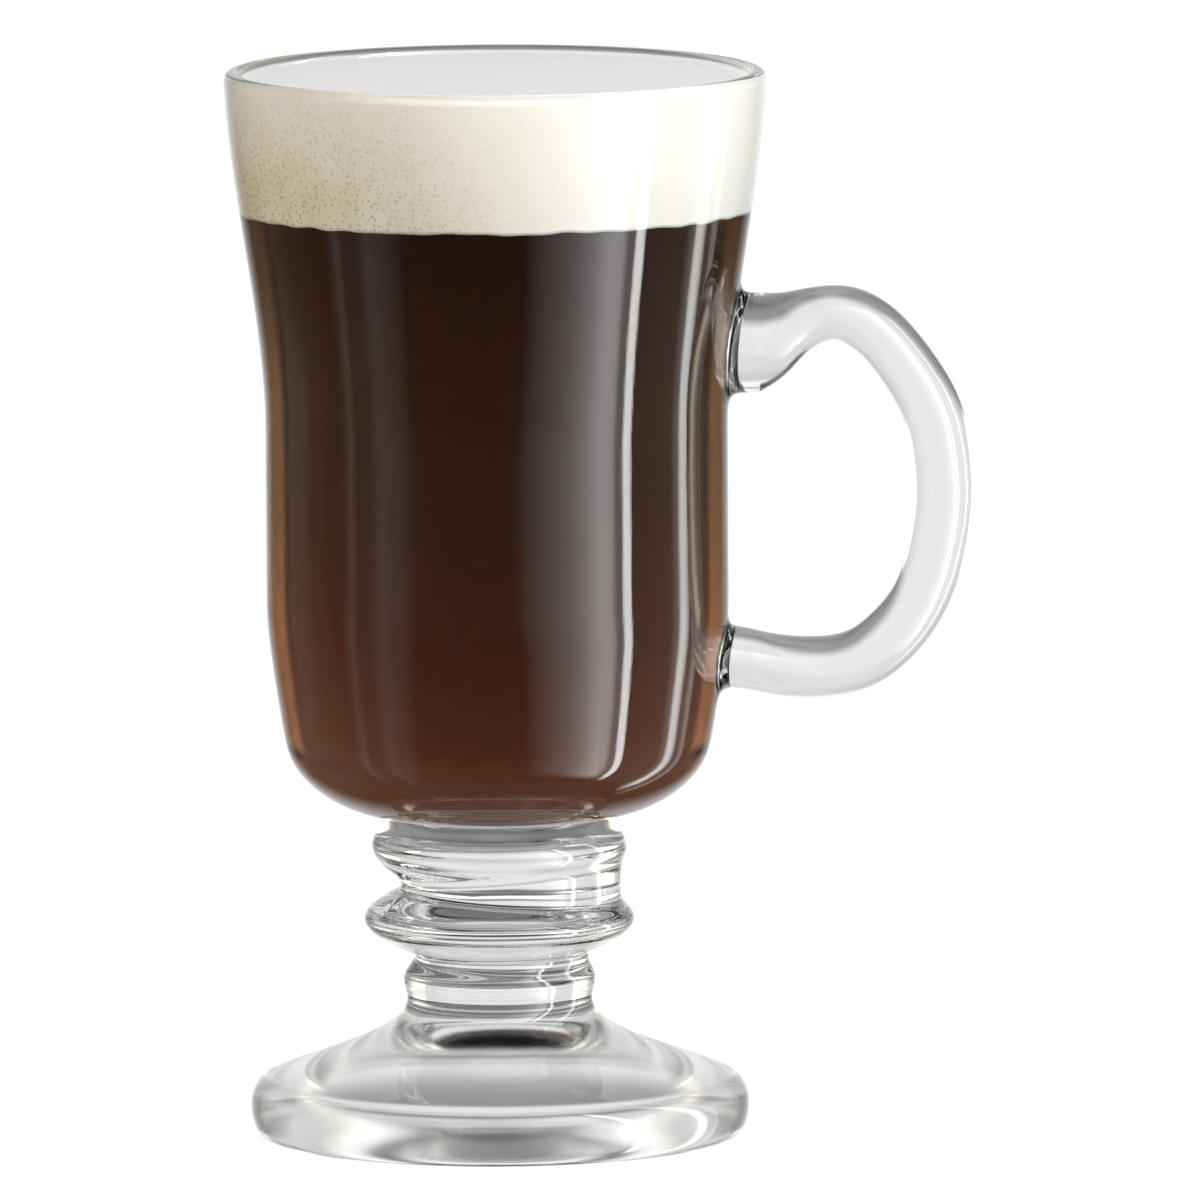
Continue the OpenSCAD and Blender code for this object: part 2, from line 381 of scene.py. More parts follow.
def emptied(owner: ID) -> tuple[ID, Adder]:
    """Gives a material or world an empty node tree.

    Args:
        owner: The material or world.

    Returns:
        The same, and add_node for its tree.
    """
    owner.use_nodes = True
    owner.node_tree.nodes.clear()
    return owner, partial(add_node, owner.node_tree)


class GlassSlot(IntEnum):
    """Which material a face of the glass takes."""

    CLEAR = 0
    FUSED = 1
    WETTED = 2
    # The foot's moulded hollow, whose greyer tint is painted shade
    MOULDED_SHADED = 3


@dataclass(frozen=True)
class SodaLimeGlass:
    """Soda-lime glass, pressed in a mould and fire polished, which leaves faint waves but a glossy skin."""

    ior: float = 1.52
    # Waves that a plunger leaves as the glass chills, about 9 mm apart and a few hundredths of a millimetre deep
    wave_mm: float = 9.0
    wave_depth_mm: float = 0.03
    # A trace of iron takes a little more red than green and blue
    tint: str = "#fbfdfc"
    roughness: float = 0.0
    name: str = "soda_lime_glass_pressed"

    def build(self) -> Material:
        """Makes the material: clear refraction under a skin that faint waves disturb.

        Returns:
            The material.
        """
        material, add = emptied(bpy.data.materials.new(self.name))
        place = add("ShaderNodeTexCoord")
        waves = add("ShaderNodeTexNoise", {
            "Vector": place.outputs["Object"], "Scale": 1 / (self.wave_mm * MM), "Detail": 1.0, "Roughness": 0.4,
        })
        skin = add("ShaderNodeBump", {"Height": waves, "Strength": 1.0, "Distance": self.wave_depth_mm * MM})
        glass = add("ShaderNodeBsdfPrincipled", {
            "Base Color": linear(self.tint), "Roughness": self.roughness, "IOR": self.ior,
            "Transmission Weight": 1.0, "Normal": skin,
        })
        add("ShaderNodeOutputMaterial", {"Surface": glass})
        return material


@dataclass(frozen=True)
class WettedGlass:
    """The inner face of the bowl under the drink: glass against water, which bends light far less than air does."""

    ior: float = 1.52 / 1.333
    name: str = "soda_lime_glass_wetted"

    def build(self) -> Material:
        """Makes the material: refraction by the ratio of the two indices, with almost no reflection.

        Returns:
            The material.
        """
        material, add = emptied(bpy.data.materials.new(self.name))
        glass = add("ShaderNodeBsdfPrincipled", {
            "Base Color": linear("#ffffff"), "Roughness": 0.0, "IOR": self.ior, "Transmission Weight": 1.0,
        })
        add("ShaderNodeOutputMaterial", {"Surface": glass})
        return material


@dataclass(frozen=True)
class FusedJoint:
    """Where two pieces of hot glass were fused: nothing shows, and light goes straight on."""

    name: str = "soda_lime_glass_fused_joint"

    def build(self) -> Material:
        """Makes the material: fully transparent.

        Returns:
            The material.
        """
        material, add = emptied(bpy.data.materials.new(self.name))
        through = add("ShaderNodeBsdfTransparent", {"Color": grey(1.0)})
        add("ShaderNodeOutputMaterial", {"Surface": through})
        return material


@dataclass(frozen=True)
class BrewedCoffee:
    """Filter coffee: a dark clear brew that lets red and amber through where it is thin."""

    # Loss of red, green and blue light in each millimetre of strong filter coffee
    loss: tuple[float, float, float] = (0.049, 0.075, 0.092)
    density_margin: float = 1.05
    # Painted light and shade by height, from the bottom (0) to the top (1): the bottom keeps a painted red glow, and
    # painted shade takes red away upwards
    painted_light_tints: Sequence[tuple[float, str]] = ((0.0, "#ffffff"), (0.16, "#f6f9f9"), (0.5, "#d9e6e6"), (1.0, "#d0e0e0"))
    name: str = "filter_coffee_brewed"

    def build(self, low: float, high: float) -> Material:
        """Makes the material: light goes straight in, a little less of it near the top by painted shade, and is
        absorbed on its way.

        Args:
            low: Height of the bottom of the brew, in millimetres.
            high: Height of its top.

        Returns:
            The material.
        """
        material, add = emptied(bpy.data.materials.new(self.name))
        place = add("ShaderNodeTexCoord")
        parts = add("ShaderNodeSeparateXYZ", {"Vector": place.outputs["Object"]})
        level = add("ShaderNodeMapRange", {"Value": parts.outputs["Z"], "From Min": low * MM, "From Max": high * MM})
        # Painted glow at the bottom and painted shade towards the top, by height
        painted_light_tints = add("ShaderNodeValToRGB", {"Fac": level}, stops=[
            (share, linear(tint)) for share, tint in self.painted_light_tints
        ])
        surface = add("ShaderNodeBsdfTransparent", {"Color": painted_light_tints})
        # Absorption takes density * (1 - colour) of the light in each metre, so the density lies above any loss
        loss = np.array(self.loss) / MM
        density = float(loss.max()) * self.density_margin
        body = add("ShaderNodeVolumeAbsorption", {"Color": (*(1 - loss / density).tolist(), 1.0), "Density": density})
        add("ShaderNodeOutputMaterial", {"Surface": surface, "Volume": body})
        return material


@dataclass(frozen=True)
class WhippedCream:
    """Lightly whipped cream: matte, soft, full of fine bubbles that show against the glass."""

    white: str = "#f8f5ee"
    warm: str = "#e4d6b0"
    bubble: str = "#b09b70"
    # The top is painted a cooler grey as shade, where less light falls on it
    top: str = "#cfced0"
    # Bubbles of lightly whipped cream are 0.2 to 1 mm wide, and the largest gather low down
    bubble_mm: float = 0.7
    # A bubble's pit is full up to the first distance from its middle and gone at the second, in bubble widths
    pit: tuple[float, float] = (0.12, 0.4)
    dent_share: float = 0.1
    cloud_mm: float = 7.0
    # Painted warm shade on the left: from the left edge to this share of its radius right of the middle, less of it
    # at the top
    shade_reach: float = 0.35
    shade_top: float = 0.15
    shade_strength: float = 1.9
    # The top's painted shade fades in over these depths under it
    top_shade_mm: tuple[float, float] = (0.5, 0.4)
    roughness: float = 0.55
    ior: float = 1.35
    name: str = "cream_lightly_whipped"

    def build(self, low: float, high: float, reach: float) -> Material:
        """Makes the material: warm clouds of painted shade and darker pits of bubbles, more of both low down and to
        the left, and painted shade on the top.

        Args:
            low: Height of the underside of the cream, in millimetres.
            high: Height of its top.
            reach: Its radius.

        Returns:
            The material.
        """
        material, add = emptied(bpy.data.materials.new(self.name))
        place = add("ShaderNodeTexCoord")
        parts = add("ShaderNodeSeparateXYZ", {"Vector": place.outputs["Object"]})
        across = add("ShaderNodeMapRange", {
            "Value": parts.outputs["X"], "From Min": -reach * MM, "From Max": self.shade_reach * reach * MM,
            "To Min": 1.0, "To Max": 0.0,
        }, interpolation_type="SMOOTHSTEP")
        depth = add("ShaderNodeMapRange", {
            "Value": parts.outputs["Z"], "From Min": low * MM, "From Max": high * MM,
            "To Min": 1.0, "To Max": self.shade_top,
        })
        clouds = add("ShaderNodeTexNoise", {
            "Vector": place.outputs["Object"], "Scale": 1 / (self.cloud_mm * MM), "Detail": 4.0,
        })
        painted_shade = add("ShaderNodeMath", {0: across, 1: depth}, operation="MULTIPLY")
        cloudy = add("ShaderNodeMath", {0: painted_shade, 1: clouds}, operation="MULTIPLY")
        warm_shade = add("ShaderNodeMath", {0: cloudy, 1: self.shade_strength}, operation="MULTIPLY", use_clamp=True)
        bubbles = add("ShaderNodeTexVoronoi", {"Vector": place.outputs["Object"], "Scale": 1 / (self.bubble_mm * MM)})
        pits = add("ShaderNodeMapRange", {
            "Value": bubbles, "From Min": self.pit[0], "From Max": self.pit[1], "To Min": 1.0, "To Max": 0.0,
        })
        pits_in_shade = add("ShaderNodeMath", {0: pits, 1: painted_shade}, operation="MULTIPLY", use_clamp=True)
        top_shade = add("ShaderNodeMapRange", {
            "Value": parts.outputs["Z"],
            "From Min": (high - self.top_shade_mm[0]) * MM, "From Max": (high - self.top_shade_mm[1]) * MM,
        })
        colour: Any = linear(self.white)
        # Painted warm shade on the left, darker bubble pits only where it lies, and painted shade on the top
        for share, code in ((warm_shade, self.warm), (pits_in_shade, self.bubble), (top_shade, self.top)):
            colour = add("ShaderNodeMix", {"Factor": share, 6: colour, 7: linear(code)}, data_type="RGBA")
        froth = add("ShaderNodeTexNoise", {
            "Vector": place.outputs["Object"], "Scale": 1 / (self.bubble_mm * MM), "Detail": 3.0,
        })
        dents = add("ShaderNodeBump", {
            "Height": froth, "Strength": 0.5, "Distance": self.dent_share * self.bubble_mm * MM,
        })
        skin = add("ShaderNodeBsdfPrincipled", {
            "Base Color": colour, "Roughness": self.roughness, "IOR": self.ior, "Normal": dents,
        })
        add("ShaderNodeOutputMaterial", {"Surface": skin})
        return material


# Pieces of the mug

@dataclass
class Bowl:
    """The bowl: flared lip, straight waist, taper, rounded heel and thick floor. Sizes are in millimetres."""

    bottom_z: float
    rim_z: float
    cream_z: float
    rim_d: float = 74.9
    waist_d: float = 64.0
    heel_d: float = 58.8
    flare_h: float = 48.0
    heel_h: float = 9.8
    taper_h: float = 18.8
    wall_t: float = 3.5
    lip_t: float = 2.4
    base_t: float = 4.5
    joint_d: float = 29.6
    flare_ease_share: float = 0.75
    taper_power: float = 1.3
    floor_share: float = 0.42
    heel_pulls: Table = ((0.053, 0.44), (0.45, 0.95))
    corner_pulls: Table = ((0.05, 0.6), (0.42, 0.98))
    wave: float = 0.05
    # The ripple's most waves round the bowl and shortest wave along it. It fades over some lip widths under the lip
    waves: int = 5
    wave_pitch: float = 60.0
    lip_fade: float = 4.0
    # Width of the curve that fire polishing leaves where two stretches of the wall meet
    softening: float = 1.2
    # The sides lie closer where the handle's pads are, so that the pads' outlines come out smooth
    sides: int = 192
    denser: float = 0.45
    # Points along the heel and the inner corner, the taper, the waist, the flare and the lip, and the floor's rings
    heel_points: int = 28
    corner_points: int = 30
    taper_points: int = 26
    waist_points: int = 20
    flare_points: int = 60
    lip_points: int = 16
    floor_shares: Sequence[float] = (0.97, 0.7, 0.35)

    @property
    def floor_z(self) -> float:
        """Height of the floor inside the bowl."""
        return self.bottom_z + self.base_t

    @property
    def lip_share(self) -> float:
        """How far up the flare the round lip starts."""
        return 1 - self.lip_t / 2 / self.flare_h

    def flare(self, shares: Array) -> tuple[Array, Array]:
        """Outer points of the flare: radius eased between waist and rim, and its wall thinning to the lip.

        Args:
            shares: 0 at the waist to 1 at the rim.

        Returns:
            The points of shape (n, 2) and the wall's thickness at each.
        """
        eased = self.flare_ease_share * s_curve(shares) + (1 - self.flare_ease_share) * shares
        radius = self.waist_d / 2 + (self.rim_d - self.waist_d) / 2 * eased
        height = self.rim_z - self.flare_h + shares * self.flare_h
        return np.stack([radius, height], 1), self.wall_t + (self.lip_t - self.wall_t) * s_curve(shares)

    def taper(self, shares: Array, height: float) -> Array:
        """Points of the taper: the radius falls by a power of the way down, from the waist to the heel.

        Args:
            shares: 0 at the waist to 1 at the heel.
            height: Height of the stretch.

        Returns:
            Points of shape (n, 2).
        """
        radius = self.waist_d / 2 - (self.waist_d - self.heel_d) / 2 * shares**self.taper_power
        top = self.bottom_z + self.heel_h + self.taper_h
        return np.stack([radius, top - shares * height], 1)

    def outside(self) -> Array:
        """Outer profile: heel, taper, straight waist and flare, with the corners between them rounded.

        Returns:
            Points of shape (n, 2), from the joint with the stem up to the lip.
        """
        top, low = (self.heel_d / 2, self.bottom_z + self.heel_h), (self.joint_d / 2, self.bottom_z)
        heel = pulled(top, low, self.heel_pulls, self.heel_points)[::-1]
        taper = self.taper(np.linspace(1, 0, self.taper_points)[1:], self.taper_h)
        flare, _ = self.flare(np.linspace(0, self.lip_share, self.flare_points))
        straight = np.linspace(taper[-1], flare[0], self.waist_points)[1:-1]
        return softened(np.concatenate([heel, taper, straight, flare]), self.softening)

    def inside(self) -> Array:
        """Inner profile: the outer one less the wall, and a tighter corner on to the flat floor.

        Returns:
            Points of shape (n, 2), from the lip down to the edge of the floor.
        """
        flare, wall = self.flare(np.linspace(self.lip_share, 0, self.flare_points))
        wall[0] = self.lip_t
        flare[:, 0] -= wall
        taper = self.taper(np.linspace(0, 1, self.taper_points), self.taper_h - self.wall_t / 2)
        taper[:, 0] -= self.wall_t
        straight = np.linspace(flare[-1], taper[0], self.waist_points)[1:-1]
        radius = self.heel_d / 2 - self.wall_t
        top, low = (radius, self.bottom_z + self.heel_h + self.wall_t / 2), (radius * self.floor_share, self.floor_z)
        corner = pulled(top, low, self.corner_pulls, self.corner_points)[1:]
        return softened(np.concatenate([flare, straight, taper, corner]), self.softening)

    def outer_radius(self, height: Array) -> Array:
        """Outer radius of the bowl at a height, read along its profile."""
        profile = self.outside()
        return np.interp(height, profile[:, 1], profile[:, 0])

    def inner_radius(self, height: Array) -> Array:
        """Inner radius of the bowl at a height."""
        profile = self.inside()[::-1]
        return np.interp(height, profile[:, 1], profile[:, 0])

    def build(self, handle: "Handle", materials: Sequence[Material]) -> Object:
        """Turns the closed profile: joint disc, outer face, half round lip, inner face and floor.

        The outer radius gets a faint ripple. Points of the outer face near the outline of a fused pad slide along
        the face onto that outline, and the faces inside it are fused.

        Args:
            handle: The handle, which knows its pads.
            materials: Materials in the order of GlassSlot.

        Returns:
            The bowl.
        """
        outside, inside = self.outside(), self.inside()
        turns = turns_round(self.sides, self.denser)
        joint = disc(self.joint_d / 2, self.bottom_z)
        lip_r = self.flare(np.array([self.lip_share]))[0][0]
        half = self.lip_t / 2
        lip = arc((lip_r[0] - half, lip_r[1]), half, half, 0, 180, self.lip_points)[1:-1]
        floor = disc(inside[-1, 0], self.floor_z, self.floor_shares)
        fade = np.clip((outside[:, 1] - self.bottom_z) / self.heel_h, 0, 1)
        fade *= np.clip((self.rim_z - outside[:, 1]) / (self.lip_fade * self.lip_t), 0, 1)
        waves = ripple(turns[None, :], outside[:, 1:], self.waves, self.wave_pitch, seed=3)
        skin = turned(outside, turns, self.wave * (waves - 1) * fade[:, None])
        rings = np.concatenate([
            turned(joint, turns), skin, turned(lip, turns), turned(inside, turns), turned(floor, turns),
        ])
        first, last = len(joint), len(joint) + len(outside)
        rings[first:last] = handle.snap_to_pads(rings[first:last])
        slots = np.full((len(rings) + 1, self.sides), GlassSlot.CLEAR)
        slots[:first + 1] = GlassSlot.FUSED
        wetted = last + len(lip) + 1 + int(np.argmax(inside[:, 1] < self.cream_z))
        slots[wetted:] = GlassSlot.WETTED
        middles = (rings[first:last - 1] + rings[first + 1:last]) / 2
        middles = (middles + np.roll(middles, -1, 1)) / 2
        slots[first + 1:last][handle.in_pads(middles)] = GlassSlot.FUSED
        poles = on_axis(self.bottom_z, self.floor_z)
        return closed_mesh("bowl_glass", rings, poles, materials, slots, sharp=[first])


@dataclass
class Stem:
    """The solid stem: three rings on a core, with two necks that lie a little off the axis. Millimetres."""

    bottom_z: float
    top_z: float
    joint_d: float = 29.6
    collar_d: float = 25.6
    collar_h: float = 1.0
    lower_ring: tuple[float, float] = (26.4, 4.6)
    lower_neck: tuple[float, float, float] = (24.0, 0.8, 0.4)
    middle_ring: tuple[float, float] = (37.6, 9.2)
    upper_neck: tuple[float, float, float] = (30.7, 1.2, 1.6)
    upper_ring: tuple[float, float] = (35.2, 8.9)
    neck_flare_share: float = 0.04
    neck_reach_share: float = 0.6
    fillet: float = 0.9
    wave: float = 0.12
    waves: int = 7
    wave_pitch: float = 9.0
    sides: int = 160
    levels: int = 170

    def ring(self, z: Array, low: float, size: tuple[float, float], core: Array) -> Array:
        """Radius of one ring: half a cosine wave that stands on the core, and nothing outside its height.

        Args:
            z: Heights.
            low: Height of the ring's lower side.
            size: Its diameter and height.
            core: Radius of the core at each height.

        Returns:
            Radii, zero outside the ring.
        """
        diameter, height = size
        middle = low + height / 2
        proud = diameter / 2 - np.interp(middle, z, core)
        away = (z - middle) / (height / 2)
        return np.where(np.abs(away) <= 1, core + proud * np.cos(np.clip(away, -1, 1) * math.pi / 2), 0)

    def neck(self, z: Array, turns: Array, low: float, high: float, size: tuple[float, float, float]) -> Array:
        """Radius of one neck about the stem's axis: a circle off the axis that widens to its ends.

        A circle of radius R about (s, 0) lies at s cos t + sqrt(R^2 - s^2 sin^2 t) from the axis.

        Args:
            z: Heights, of shape (n, 1).
            turns: Angles, of shape (m,).
            low: Lower end of the neck.
            high: Upper end.
            size: Its diameter, its height between the rings and how far it lies off the axis.

        Returns:
            Radii of shape (n, m), zero outside the neck.
        """
        diameter, _, shift = size
        away = (z - (low + high) / 2) / ((high - low) / 2)
        swell = 1 + self.neck_flare_share * (1 - np.cos(np.clip(away, -1, 1) * math.pi / 2))
        radius = diameter / 2 * swell
        reach = shift * np.cos(turns) + np.sqrt(radius**2 - (shift * np.sin(turns)) ** 2)
        return np.where(np.abs(away) <= 1, reach, 0)

    def build(self, materials: Sequence[Material]) -> Object:
        """Works out the radius at each height and angle as the filleted maximum of rings, necks and collar.

        Args:
            materials: Materials in the order of GlassSlot.

        Returns:
            The stem.
        """
        turns = turns_round(self.sides)
        z = np.linspace(self.bottom_z, self.top_z, self.levels)
        lower_z = self.bottom_z + self.collar_h
        middle_z = lower_z + self.lower_ring[1] + self.lower_neck[1]
        upper_z = middle_z + self.middle_ring[1] + self.upper_neck[1]
        core = np.interp(z, [self.bottom_z, middle_z, upper_z, self.top_z], [
            self.collar_d / 2,
            self.lower_neck[0] / 2 - self.lower_neck[2],
            self.upper_neck[0] / 2 - self.upper_neck[2],
            self.joint_d / 2,
        ])
        column = z[:, None]
        radius = np.where(column <= lower_z + self.lower_ring[1] / 2, self.collar_d / 2, 0) * np.ones_like(turns)
        for low, size in ((lower_z, self.lower_ring), (middle_z, self.middle_ring), (upper_z, self.upper_ring)):
            radius = smooth_max(radius, self.ring(z, low, size, core)[:, None], self.fillet)
        necks = (
            (lower_z + self.lower_ring[1] / 2, middle_z + self.middle_ring[1] * (1 - self.neck_reach_share),
             self.lower_neck),
            (middle_z + self.middle_ring[1] * self.neck_reach_share, upper_z + self.upper_ring[1] / 2,
             self.upper_neck),
        )
        for low, high, size in necks:
            radius = smooth_max(radius, self.neck(column, turns, low, high, size), self.fillet)
        fade = np.sin(np.pi * (z - self.bottom_z) / (self.top_z - self.bottom_z))[:, None]
        uneven = ripple(turns[None, :], column, self.waves, self.wave_pitch, seed=11)
        radius = radius + self.wave * fade * (uneven - 1)
        radius[0], radius[-1] = self.collar_d / 2, self.joint_d / 2
        side = np.stack([radius * np.cos(turns), radius * np.sin(turns), column * np.ones_like(turns)], 2)
        rings = np.concatenate([drawn_in(side[:1]), side, drawn_in(side[-1:], DISC_SHARES[::-1])])
        edge = len(DISC_SHARES)
        slots = np.full((len(rings) + 1, self.sides), GlassSlot.CLEAR)
        slots[:edge + 1] = slots[-edge - 1:] = GlassSlot.FUSED
        poles = on_axis(self.bottom_z, self.top_z)
        return closed_mesh("stem_glass", rings, poles, materials, slots, sharp=[edge, len(rings) - edge - 1])


@dataclass
class Foot:
    """The domed foot with its thick rounded edge, hollow underneath. Sizes are in millimetres."""

    height: float
    foot_d: float
    collar_d: float = 25.6
    edge_t: float = 8.6
    edge_w: float = 3.6
    rest_d: float = 65.2
    hollow_d: float = 57.0
    hollow_h: float = 14.0
    edge_top_angle: float = 72.0
    foot_pulls: Table = ((0.02, 0.42), (0.57, 0.69))
    hollow_pulls: Table = ((0.07, 0.43), (0.6, 1.0))
    wave: float = 0.25
    waves: int = 6
    wave_pitch: float = 26.0
    sides: int = 192
    # Points along the dome and the hollow, each quarter round of the edge, and the resting ring
    dome_points: int = 60
    edge_points: int = 14
    rest_points: int = 6

    def build(self, materials: Sequence[Material]) -> Object:
        """Turns the profile: joint disc, dome, two quarter rounds of the edge, resting ring and moulded hollow.

        The dome gets a ripple that fades out towards the joint and the edge.

        Args:
            materials: Materials in the order of GlassSlot.

        Returns:
            The foot.
        """
        turns = turns_round(self.sides)
        collar, foot, rest, hollow = (d / 2 for d in (self.collar_d, self.foot_d, self.rest_d, self.hollow_d))
        centre = (foot - self.edge_w, self.edge_t / 2)
        upper = arc(centre, self.edge_w, self.edge_t / 2, self.edge_top_angle, 0, self.edge_points)
        lower = arc((rest, self.edge_t / 2), foot - rest, self.edge_t / 2, 0, -90, self.edge_points)[1:]
        dome = pulled((collar, self.height), upper[0], self.foot_pulls, self.dome_points)[:-1]
        inner = pulled((hollow, 0.0), (0.0, self.hollow_h), self.hollow_pulls, self.dome_points)[1:-1]
        flat = np.linspace(lower[-1], (hollow, 0.0), self.rest_points)[1:]
        joint = disc(collar, self.height)
        profile = np.concatenate([joint, dome, upper, lower, flat, inner])
        along = np.zeros(len(profile))
        along[len(joint):len(joint) + len(dome)] = np.sin(np.linspace(0, np.pi, len(dome)))
        waves = ripple(turns[None, :], profile[:, :1], self.waves, self.wave_pitch, seed=5)
        rings = turned(profile, turns)
        rings[:, :, 2] += self.wave * along[:, None] * waves
        slots = np.full((len(rings) + 1, self.sides), GlassSlot.CLEAR)
        slots[:len(joint) + 1] = GlassSlot.FUSED
        # The hollow takes the moulded glass, whose greyer tint is painted shade
        slots[-len(inner) - 1:] = GlassSlot.MOULDED_SHADED
        poles = on_axis(self.height, self.hollow_h)
        return closed_mesh("foot_glass", rings, poles, materials, slots, sharp=[len(joint)])


@dataclass
class Handle:
    """The drawn handle of oval section, fused to the bowl at two pads. Sizes are in millimetres."""

    bowl: Bowl
    reach: float = 34.1
    height: float = 57.8
    rise: float = 15.8
    grip_t: float = 8.6
    grip_w: float = 10.4
    upper_pad_h: float = 13.9
    lower_pad_h: float = 8.4
    pad_t: float = 1.5
    pad_spread: float = 1.5
    seat_gap: float = 0.02
    # Width of the curve that the soft glass took where it was bent
    softening: float = 2.6
    lobe_stations: int = 3
    # Along the outer edge: shares of the reach and the height, the section's turn in degrees, and shares of the
    # thickness and the width. The thickness is a share of the upper pad's on the lobe, of the lower pad's at the
    # last station, and of the grip's between them.
    shares: Table = (
        (0.12, 0.98, 0, 1.00, 1.28),
        (0.191, 0.978, 0, 0.892, 1.24),
        (0.264, 0.982, -4, 0.72, 1.14),
        (0.323, 0.991, -4, 0.907, 1.06),
        (0.42, 1.00, 4, 0.86, 1.01),
        (0.54, 0.992, 14, 0.92, 1.00),
        (0.683, 0.94, 30, 0.95, 1.00),
        (0.824, 0.84, 49, 0.94, 1.00),
        (0.947, 0.715, 66, 0.98, 1.00),
        (1.00, 0.523, 88, 1.00, 1.00),
        (0.969, 0.367, 101, 0.95, 1.00),
        (0.893, 0.225, 116, 0.92, 1.00),
        (0.769, 0.114, 136, 0.965, 1.00),
        (0.587, 0.029, 159, 0.985, 1.01),
        (0.411, 0.0, 175, 1.02, 1.03),
        (0.235, 0.005, 178, 1.00, 1.10),
        (0.05, 0.031, 180, 1.00, 1.25),
    )
    # Outline of a fused pad from the bowl outwards: shares of its thickness and of its spread
    pad_edge: Table = (
        (0, 1), (0.06, 0.74), (0.15, 0.5), (0.3, 0.3), (0.5, 0.16), (0.75, 0.06), (1, 0),
    )
    sides: int = 64
    steps: int = 8
    seat_rings: int = 5
    # Points of the bowl this near the outline of a pad slide onto it
    snap: float = 0.5

    def stations(self) -> Array:
        """Turns the table of shares into sizes.

        Returns:
            Distance from the axis, height, turn, thickness and width at each station.
        """
        table = np.array(self.shares, float)
        thick = np.full(len(table), self.grip_t)
        thick[:self.lobe_stations] = self.upper_pad_h
        thick[-1] = self.lower_pad_h
        return np.stack([
            self.bowl.waist_d / 2 + table[:, 0] * self.reach,
            self.bowl.bottom_z + self.rise + table[:, 1] * self.height,
            np.radians(table[:, 2]),
            table[:, 3] * thick,
            table[:, 4] * self.grip_w,
        ], 1)

    def section(self, station: Array, share: float = 1.0, spread: float = 0.0) -> Array:
        """One oval section, which reaches inwards from the outer edge of the handle.

        A point at angle a lies t / 2 - share (t / 2 + spread) cos a inwards of the outer edge, and
        share (w / 2 + spread) sin a to the side, for a section of thickness t and width w.

        Args:
            station: Distance, height, turn, thickness and width.
            share: 1 round the section, and less inside it.
            spread: How far it spreads past the section all round.

        Returns:
            Points of shape (sides, 3).
        """
        x, z, turn, thick, width = station
        a = np.arange(self.sides) * 2 * math.pi / self.sides
        inwards = thick / 2 - share * (thick / 2 + spread) * np.cos(a)
        return np.stack([
            x - math.sin(turn) * inwards,
            share * (width / 2 + spread) * np.sin(a),
            z - math.cos(turn) * inwards,
        ], 1)

    def seated(self, points: Array, off: float) -> Array:
        """Carries points along X until they stand off the outer face of the bowl.

        Args:
            points: Points of shape (n, 3).
            off: How far they stand off.

        Returns:
            The points there.
        """
        radius = self.bowl.outer_radius(points[:, 2]) + off
        points = points.copy()
        points[:, 0] = np.sqrt(radius**2 - points[:, 1] ** 2)
        return points

    def pads(self) -> Array:
        """Outline of each pad on the bowl, seen along X: middle height, half width and half height."""
        first, last = self.stations()[[0, -1]]
        return np.array([
            [s[1] - math.cos(s[2]) * s[3] / 2, s[4] / 2 + self.pad_spread, s[3] / 2 + self.pad_spread]
            for s in (first, last)
        ])

    def away(self, points: Array, pad: Array) -> Array:
        """Distance from a pad's middle as a share of its outline's, and without end on the side without a handle.

        Args:
            points: Points of shape (..., 3).
            pad: Middle height, half width and half height of the pad.

        Returns:
            Shares of shape (...).
        """
        middle, half_w, half_h = pad
        share = np.hypot(points[..., 1] / half_w, (points[..., 2] - middle) / half_h)
        return np.where(points[..., 0] > 0, share, np.inf)

    def snap_to_pads(self, rings: Array) -> Array:
        """Slides points of the bowl's outer face near a pad's outline along the face onto that outline.

        Args:
            rings: Points of the outer face, of shape (n, m, 3).

        Returns:
            The same points, with those near an outline moved.
        """
        rings = rings.copy()
        for pad in self.pads():
            share = self.away(rings, pad)
            near = np.abs(share - 1) < self.snap / pad[2]
            scale = 1 / share[near]
            points = rings[near]
            points[:, 1] *= scale
            points[:, 2] = pad[0] + (points[:, 2] - pad[0]) * scale
            rings[near] = self.seated(points, 0)
        return rings

    def in_pads(self, points: Array) -> Array:
        """True for each point that lies under a pad."""
        return np.any([self.away(points, pad) < 1 for pad in self.pads()], axis=0)

    def build(self, materials: Sequence[Material]) -> Object:
        """Lofts the sections: upper seat from its middle outwards, its pad, the grip, the lower pad and its seat.

        Args:
            materials: Materials in the order of GlassSlot.

        Returns:
            The handle.
        """
        sections = softened(catmull(self.stations(), self.steps), self.softening)
        ends = self.stations()[[0, -1]]
        shares = np.arange(1, self.seat_rings) / self.seat_rings
        rounds = []
        for end, station in enumerate(ends):
            seat = [self.seated(self.section(station, share, self.pad_spread), self.seat_gap) for share in shares]
            edge = [
                self.seated(
                    self.section(station, 1.0, spread * self.pad_spread), max(depth * self.pad_t, self.seat_gap)
                )
                for depth, spread in self.pad_edge
            ]
            rounds.append((seat + edge)[::-1] if end else seat + edge)
        grip = [self.section(station) for station in sections[1:-2]]
        rings = np.stack([*rounds[0], *grip, *rounds[1]])
        seats = self.seat_rings
        slots = np.full((len(rings) + 1, self.sides), GlassSlot.CLEAR)
        slots[:seats] = slots[-seats:] = GlassSlot.FUSED
        poles = np.concatenate([self.seated(self.section(station, 0.0)[:1], self.seat_gap) for station in ends])
        return closed_mesh("handle_glass", rings, poles, materials, slots, sharp=[seats - 1, len(rings) - seats])


